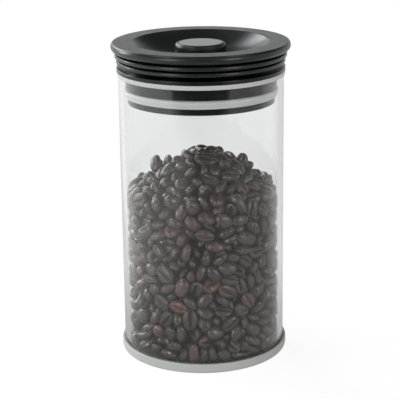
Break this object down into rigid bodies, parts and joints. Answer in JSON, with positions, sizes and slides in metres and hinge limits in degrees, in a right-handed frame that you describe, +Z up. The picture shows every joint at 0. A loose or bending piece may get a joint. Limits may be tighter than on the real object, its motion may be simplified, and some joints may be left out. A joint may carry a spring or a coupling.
{
  "type": "food canister",
  "caption": "Tall round glass jar of coffee beans in a soft base boot, closed by a black bellows pump lid with a dished top and a push-button release valve.",
  "frame": {"origin": "centre of the underside, on the surface that the canister stands on", "axes": "+Z up along the jar's axis; the canister is round, so +X and +Y are free"},
  "size_m": [0.1082, 0.1082, 0.194],
  "materials": {
    "boot_silicone": "matte light grey silicone",
    "clear_glass": "clear polished glass",
    "roasted_coffee": "roasted beans with a faint oily sheen",
    "lid_plastic": "satin black",
    "inner_plastic": "satin dark grey",
    "top_plastic": "soft satin black",
    "button_plastic": "soft satin black",
    "cap_plastic": "matte light grey",
    "seal_silicone": "milky translucent silicone",
    "gasket_silicone": "matte pale grey silicone",
    "bellows_silicone": "matte black silicone",
    "valve_rubber": "matte black rubber",
    "steel": "drawn stainless steel"
  },
  "bodies": {
    "jar": {"base_boot": "boot_silicone", "glass_jar": "clear_glass", "coffee_beans": "roasted_coffee"},
    "lid": {"lid_body": "lid_plastic", "rim_seal": "seal_silicone", "plug_gasket": "gasket_silicone", "gasket_retainer": "lid_plastic", "bean_guard": "lid_plastic", "lower_clamp_ring": "inner_plastic", "clamp_screws": "steel", "bellows": "bellows_silicone", "return_spring": "steel"},
    "top": {"top_plate": "top_plastic", "upper_clamp_ring": "inner_plastic", "exhaust_flap": "valve_rubber", "button_spring": "steel"},
    "button": {"button_head": "button_plastic", "button_cap": "cap_plastic", "valve_stem": "steel", "valve_disc": "inner_plastic", "valve_seal": "valve_rubber", "stem_clip": "steel"}
  },
  "joints": [
    {"name": "lid_lift", "type": "slide", "parent": "jar", "child": "lid", "axis": [0, 0, 1], "range_m": [0, 0.06]},
    {"name": "pump_press", "type": "slide", "parent": "lid", "child": "top", "axis": [0, 0, -1], "range_m": [0, 0.004], "stiffness_N_per_m": 1500, "springref_m": -0.004, "deforming": ["bellows", "return_spring"]},
    {"name": "button_press", "type": "slide", "parent": "top", "child": "button", "axis": [0, 0, -1], "range_m": [0, 0.003], "stiffness_N_per_m": 400, "springref_m": -0.003, "deforming": ["button_spring"]}
  ]
}
